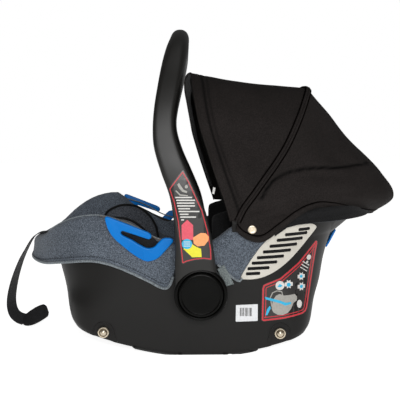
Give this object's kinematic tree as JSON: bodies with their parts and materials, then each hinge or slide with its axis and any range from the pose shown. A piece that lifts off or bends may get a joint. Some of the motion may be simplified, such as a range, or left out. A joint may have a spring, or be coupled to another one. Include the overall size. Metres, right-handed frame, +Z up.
{
  "type": "infant car seat",
  "caption": "Rear-facing infant car seat with rocker shell, swinging carry handle, folding canopy, belt guides, padded liner and three-point harness.",
  "frame": {"origin": "middle of the seat on the floor, under the centre of its bounding box without the loose tightening strap", "axes": "+Z up, +X towards the head end, -Y towards the child's left"},
  "size_m": [0.7128, 0.4332, 0.55],
  "materials": {
    "shell_plastic": "fine spark-eroded texture",
    "handle_plastic": "satin",
    "blue_plastic": "smooth semi-gloss",
    "vent_plastic": "satin",
    "heather_fabric": "blue-grey melange weave",
    "charcoal_fabric": "charcoal melange weave",
    "canopy_fabric": "plain woven polyester",
    "black_fabric": "matt knit and rubberised cloth",
    "webbing": "ribbed polyester webbing",
    "grey_webbing": "woven elastic",
    "steel": "bright nickel plating",
    "spring_steel": "drawn wire",
    "red_plastic": "smooth",
    "foam": "moulded bead foam"
  },
  "bodies": {
    "shell": {"outer_shell": "shell_plastic", "seat_bucket": "shell_plastic", "foam_liner": "foam", "seat_cover": "heather_fabric", "infant_insert": "charcoal_fabric", "head_hugger": "black_fabric", "rear_belt_guide": "blue_plastic", "front_cross_rod": "steel", "rear_cross_rod": "steel", "crotch_strap": "webbing", "crotch_pad": "black_fabric", "buckle_body": "shell_plastic", "adjuster_housing": "shell_plastic", "harness_yoke": "steel", "adjuster_strap": "webbing", "strap_pull_tab": "black_fabric", "hub_base_left": "shell_plastic", "handle_axle_left": "steel", "belt_guide_left": "blue_plastic", "vent_grille_left": "vent_plastic", "elastic_tab_left": "grey_webbing", "canopy_bracket_left": "shell_plastic", "snap_button_left": "steel", "shoulder_strap_left": "webbing", "shoulder_pad_left": "black_fabric", "buckle_tongue_left": "steel", "rod_cap_front_left": "steel", "cup_washer_front_left": "shell_plastic", "rod_cap_rear_left": "steel", "cup_washer_rear_left": "shell_plastic", "hub_base_right": "shell_plastic", "handle_axle_right": "steel", "belt_guide_right": "blue_plastic", "vent_grille_right": "vent_plastic", "elastic_tab_right": "grey_webbing", "canopy_bracket_right": "shell_plastic", "snap_button_right": "steel", "shoulder_strap_right": "webbing", "shoulder_pad_right": "black_fabric", "buckle_tongue_right": "steel", "rod_cap_front_right": "steel", "cup_washer_front_right": "shell_plastic", "rod_cap_rear_right": "steel", "cup_washer_rear_right": "shell_plastic"},
    "handle": {"handle_frame": "handle_plastic", "handle_grip": "black_fabric", "button_spring_left": "spring_steel", "button_spring_right": "spring_steel"},
    "hub_button_left": {"hub_button_left": "handle_plastic", "lock_plate_left": "steel"},
    "hub_button_right": {"hub_button_right": "handle_plastic", "lock_plate_right": "steel"},
    "canopy_mid": {"canopy_mid_bow": "shell_plastic", "canopy_rear_panel": "canopy_fabric"},
    "canopy_front": {"canopy_front_bow": "shell_plastic", "canopy_front_panel": "canopy_fabric"},
    "buckle_button": {"buckle_button": "red_plastic"},
    "adjuster_button": {"adjuster_button": "handle_plastic"}
  },
  "joints": [
    {"name": "handle_swing", "type": "hinge", "parent": "shell", "child": "handle", "pos_m": [-0.0284, 0, 0.1082], "axis": [0, 1, 0], "range_deg": [0, 100]},
    {"name": "hub_button_left_press", "type": "slide", "parent": "handle", "child": "hub_button_left", "axis": [0, 1, 0], "range_m": [0, 0.005], "stiffness_N_per_m": 800, "deforming": ["button_spring_left"]},
    {"name": "hub_button_right_press", "type": "slide", "parent": "handle", "child": "hub_button_right", "axis": [0, -1, 0], "range_m": [0, 0.005], "stiffness_N_per_m": 800, "deforming": ["button_spring_right"]},
    {"name": "canopy_fold", "type": "hinge", "parent": "shell", "child": "canopy_mid", "pos_m": [0.03, 0, 0.224], "axis": [0, 1, 0], "range_deg": [0, 40], "deforming": ["canopy_rear_panel"]},
    {"name": "canopy_front_fold", "type": "hinge", "parent": "canopy_mid", "child": "canopy_front", "pos_m": [0.03, 0, 0.224], "axis": [0, 1, 0], "range_deg": [0, 38], "deforming": ["canopy_front_panel"]},
    {"name": "buckle_button_press", "type": "slide", "parent": "shell", "child": "buckle_button", "axis": [0, 0, -1], "range_m": [0, 0.003], "stiffness_N_per_m": 900},
    {"name": "adjuster_button_press", "type": "slide", "parent": "shell", "child": "adjuster_button", "axis": [0, 0, -1], "range_m": [0, 0.003], "stiffness_N_per_m": 900}
  ],
  "couplings": [
    {"joint": "canopy_front_fold", "follows": "canopy_fold", "ratio": 0.95}
  ]
}
